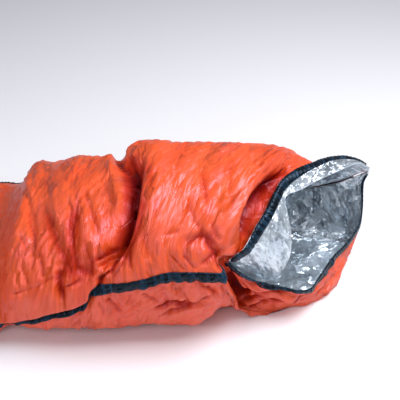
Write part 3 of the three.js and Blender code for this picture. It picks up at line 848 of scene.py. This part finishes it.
near_tape = seam_tape("near_side_binding", 0.0, 40.0, 21)
far_tape = seam_tape("far_side_binding", 0.5, 150.0, 22)
cuff_tape = rim_tape("cuff_binding", steps((0.006, 0.49, 330)), 23)
rim_binding = rim_wrap("rim_binding", steps((0.512, 0.994, 330)), 24)


def foot_binding():
    """Tape folded over the foot edges of both panels."""
    f = steps((0.0035, 0.4965, 340))
    ones = np.ones_like(f)
    inner_u, edge_u = (FOOT_X + TAPE_WIDTH / 2) * ones, FOOT_X * ones
    edge, low_edge = film(edge_u, f, True), film(edge_u, 1 - f, False)
    top_in, top_out = film(inner_u, f, True) + FOOT_TOP_IN, edge + FOOT_TOP_OUT
    crown = (top_in + top_out) / 2 + FOOT_TOP_CROWN
    nose = (edge + low_edge) / 2 + FOOT_NOSE
    bottom_out, bottom_in = low_edge + FOOT_BOTTOM_OUT, film(inner_u, 1 - f, False) + FOOT_BOTTOM_IN
    rows = [top_in, crown, top_out, nose, bottom_out, (bottom_out + bottom_in) / 2, bottom_in]
    points = np.stack(rows, 1)
    lengths = lengths_along(edge)
    ridge = np.abs(np.sin(np.pi * lengths / PUCKER_PITCH)) ** 0.7
    normal = grid_normals(points)
    if normal[0, 0, 2] < 0:
        normal = -normal
    high = points + normal * (0.5 + 0.9 * ridge[:, None, None])
    uv = np.stack(np.broadcast_arrays(lengths[:, None] / 1000, np.linspace(0, 0.03, len(rows))[None, :]), -1)
    return surface_object("foot_binding", (high, points), uv, False)


foot_tape = foot_binding()


def material(name):
    made = bpy.data.materials.new(name)
    made.use_nodes = True
    tree = made.node_tree
    return made, tree, tree.nodes["Principled BSDF"]


def node(tree, kind, inputs=(), **settings):
    made = tree.nodes.new(kind)
    for key, value in settings.items():
        setattr(made, key, value)
    for key, value in inputs:
        if isinstance(value, bpy.types.NodeSocket):
            tree.links.new(value, made.inputs[key])
        else:
            made.inputs[key].default_value = value
    return made


def vector_math(tree, operation, first, second):
    made = node(tree, "ShaderNodeVectorMath", [(0, first), (1, second)], operation=operation)
    return made.outputs["Value" if operation == "DOT_PRODUCT" else "Vector"]


def number_math(tree, operation, *values):
    return node(tree, "ShaderNodeMath", enumerate(values), operation=operation).outputs[0]


def noise(tree, place, scale, detail, roughness=0.5):
    inputs = [("Vector", place), ("Scale", scale), ("Detail", detail), ("Roughness", roughness)]
    return node(tree, "ShaderNodeTexNoise", inputs)


def cells(tree, place, scale, feature="F1"):
    inputs = [("Vector", place), ("Scale", scale)]
    return node(tree, "ShaderNodeTexVoronoi", inputs, voronoi_dimensions="2D", feature=feature)


def bumped(tree, height, strength=1.0, distance=1.0):
    inputs = [("Strength", strength), ("Distance", distance), ("Height", height)]
    return node(tree, "ShaderNodeBump", inputs).outputs["Normal"]


def film_place(tree, stretch, shift=0):
    place = node(tree, "ShaderNodeUVMap", uv_map="film")
    inputs = [("Vector", place.outputs[0]), ("Scale", stretch), ("Location", (shift, shift, 0))]
    return node(tree, "ShaderNodeMapping", inputs).outputs[0]


def facets(tree, mapped, scales, lines):
    """Height in metres of crumpled film: tilted flat facets and crease lines, by cells per metre."""
    bent = vector_math(tree, "MULTIPLY", noise(tree, mapped, 12.0, 3.0).outputs["Color"], (0.06, 0.06, 0))
    warped = vector_math(tree, "ADD", mapped, bent)
    total = 0.0
    for scale, slope in scales:
        cell = cells(tree, warped, scale)
        tilt = vector_math(tree, "SUBTRACT", cell.outputs["Color"], (0.5, 0.5, 0.5))
        away = vector_math(tree, "SUBTRACT", warped, cell.outputs["Position"])
        rise = vector_math(tree, "DOT_PRODUCT", tilt, away)
        total = number_math(tree, "MULTIPLY_ADD", rise, slope, total)
    line = cells(tree, warped, lines, "DISTANCE_TO_EDGE")
    near = number_math(tree, "MINIMUM", line.outputs["Distance"], 0.07)
    return number_math(tree, "MULTIPLY_ADD", near, 0.01, total)


def ramp(tree, fac, stops):
    made = node(tree, "ShaderNodeValToRGB", [("Fac", fac)])
    elements = made.color_ramp.elements
    while len(elements) < len(stops):
        elements.new(0.5)
    for element, (at, color) in zip(elements, stops):
        element.position = at
        element.color = (*color, 1)
    return made.outputs["Color"]


def orange_film():
    made, tree, shader = material("orange_film")
    mapped = film_place(tree, (1, 0.34, 1), 3)
    normal = bumped(tree, facets(tree, mapped, ((9, 0.3), (24, 0.52), (62, 0.6)), 30))
    # Uneven orange tone in broad patches; the bluer, pinker patches are a painted sheen
    patch = noise(tree, mapped, 9.0, 5.0, 0.62).outputs["Fac"]
    color = ramp(tree, patch, [
        (0.38, (0.78, 0.078, 0.006)),
        (0.54, (0.82, 0.1, 0.01)),
        (0.68, (0.76, 0.09, 0.03)),
    ])
    # Painted shade in the placed creases: the colour darkens towards deep red and the specular drops with
    # crease depth
    painted_fold_shade = node(tree, "ShaderNodeAttribute", attribute_name="painted_fold_shade").outputs["Fac"]
    shade = ramp(tree, painted_fold_shade, [(0.08, (1, 1, 1)), (0.34, (0.6, 0.3, 0.5)), (0.8, (0.22, 0.04, 0.2))])
    gloss = ramp(tree, painted_fold_shade, [(0.08, (0.85, 0.85, 0.85)), (0.4, (0.16, 0.16, 0.16))])
    tree.links.new(vector_math(tree, "MULTIPLY", color, shade), shader.inputs["Base Color"])
    tree.links.new(gloss, shader.inputs["Specular IOR Level"])
    tree.links.new(normal, shader.inputs["Normal"])
    tree.links.new(normal, shader.inputs["Coat Normal"])
    shader.inputs["Roughness"].default_value = 0.46
    shader.inputs["Specular Tint"].default_value = (0.55, 0.55, 1.0, 1)
    shader.inputs["Metallic"].default_value = 0.08
    shader.inputs["Coat Weight"].default_value = 0.1
    shader.inputs["Coat Roughness"].default_value = 0.22
    shader.inputs["Coat IOR"].default_value = 1.5
    return made


def silver_film():
    made, tree, shader = material("silver_film")
    mapped = film_place(tree, (1, 0.8, 1), 11)
    normal = bumped(tree, facets(tree, mapped, ((20, 0.4), (52, 0.55), (120, 0.6)), 38))
    patch = noise(tree, mapped, 18.0, 6.0).outputs["Fac"]
    color = ramp(tree, patch, [(0.35, (0.5, 0.58, 0.65)), (0.62, (0.78, 0.86, 0.92))])
    rough = ramp(tree, patch, [(0.3, (0.24, 0.24, 0.24)), (0.7, (0.42, 0.42, 0.42))])
    tree.links.new(color, shader.inputs["Base Color"])
    tree.links.new(rough, shader.inputs["Roughness"])
    tree.links.new(normal, shader.inputs["Normal"])
    shader.inputs["Metallic"].default_value = 0.82
    return made


def binding():
    """Glossy dark tape with painted glints: lighter and bluer blocks of colour on some of its cross puckers.
    """
    made, tree, shader = material("dark_binding")
    band = film_place(tree, (1, 0.12, 1))
    along = node(tree, "ShaderNodeSeparateXYZ", [("Vector", band)]).outputs["X"]
    # Painted glints: lighter, bluer blocks of colour along the tape stand in for highlights on its puckers
    glint_block = node(tree, "ShaderNodeTexVoronoi", voronoi_dimensions="1D")
    glint_block.inputs["Scale"].default_value = 90.0
    tree.links.new(along, glint_block.inputs["W"])
    glint_share = node(tree, "ShaderNodeSeparateColor", [("Color", glint_block.outputs["Color"])])
    color = ramp(tree, glint_share.outputs["Red"], [
        (0.35, (0.003, 0.005, 0.008)),
        (0.5, (0.005, 0.011, 0.02)),
        (0.62, (0.007, 0.018, 0.032)),
        (0.95, (0.012, 0.034, 0.062)),
    ])
    tree.links.new(color, shader.inputs["Base Color"])
    gathers = noise(tree, band, 170.0, 3.0).outputs["Fac"]
    tree.links.new(bumped(tree, gathers, 0.8, 0.003), shader.inputs["Normal"])
    shader.inputs["Roughness"].default_value = 0.22
    shader.inputs["Specular IOR Level"].default_value = 0.25
    shader.inputs["Specular Tint"].default_value = (0.45, 0.72, 1.0, 1)
    return made


ORANGE, SILVER, BINDING = orange_film(), silver_film(), binding()
for piece, nodes in (
    (upper_film, ["upper_panel"]),
    (lower_film, ["lower_panel"]),
    (near_tape, ["near_side_tape"]),
    (far_tape, ["far_side_tape"]),
    (cuff_tape, ["upper_rim_tape"]),
    (rim_binding, ["lower_rim_tape"]),
    (foot_tape, ["foot_tape"]),
):
    film_piece = piece in (upper_film, lower_film)
    for slot in (ORANGE, SILVER) if film_piece else (BINDING,):
        piece.data.materials.append(slot)
    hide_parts(*nodes)
    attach(piece, "root")


def floor():
    bpy.ops.mesh.primitive_plane_add(size=40, location=(0, 0, 0))
    made = bpy.context.object
    made.name = "floor"
    paint, _, shader = material("pale_floor")
    shader.inputs["Base Color"].default_value = (0.86, 0.86, 0.87, 1)
    shader.inputs["Roughness"].default_value = 0.9
    made.data.materials.append(paint)


def area_light(name, place, aim, size, power, color):
    data = bpy.data.lights.new(name, "AREA")
    data.shape = "RECTANGLE"
    data.size, data.size_y = size
    data.energy = power
    data.color = color
    made = bpy.data.objects.new(name, data)
    made.location = place
    made.rotation_mode = "QUATERNION"
    made.rotation_quaternion = (Vector(aim) - Vector(place)).to_track_quat("-Z", "Y")
    bpy.context.scene.collection.objects.link(made)


floor()
area_light("key", (1.9, -0.1, 2.7), (0.2, 0, 0.1), (1.9, 1.5), 106, (0.96, 0.96, 1.0))
area_light("top", (-1.5, -0.3, 2.8), (-0.3, 0, 0.1), (2.0, 1.4), 24, (0.92, 0.94, 1.0))
area_light("front", (-0.3, -2.4, 2.0), (0, 0, 0.15), (2.2, 1.2), 26, (0.96, 0.94, 1.0))

world = bpy.context.scene.world or bpy.data.worlds.new("studio")
bpy.context.scene.world = world
world.use_nodes = True
background = world.node_tree.nodes["Background"]
background.inputs["Color"].default_value = (0.86, 0.9, 1.0, 1)
background.inputs["Strength"].default_value = 0.24
bpy.context.scene.view_settings.view_transform = "Standard"

# Camera at the photograph's angle
TARGET = np.array([0.0, 0.0, AIM_HEIGHT]) - MIDDLE
camera_data = bpy.data.cameras.new("camera")
camera_data.sensor_width = 36
camera_data.lens = camera_data.sensor_width * FOCAL / (2 * PHOTO_MIDDLE)
camera = bpy.data.objects.new("camera", camera_data)
camera.location = (TARGET + DISTANCE * np.array([0, -math.cos(ELEVATION), math.sin(ELEVATION)])) / 1000
camera.rotation_euler = (math.pi / 2 - ELEVATION, 0, 0)
bpy.context.scene.collection.objects.link(camera)
bpy.context.scene.camera = camera

bpy.context.view_layer.update()
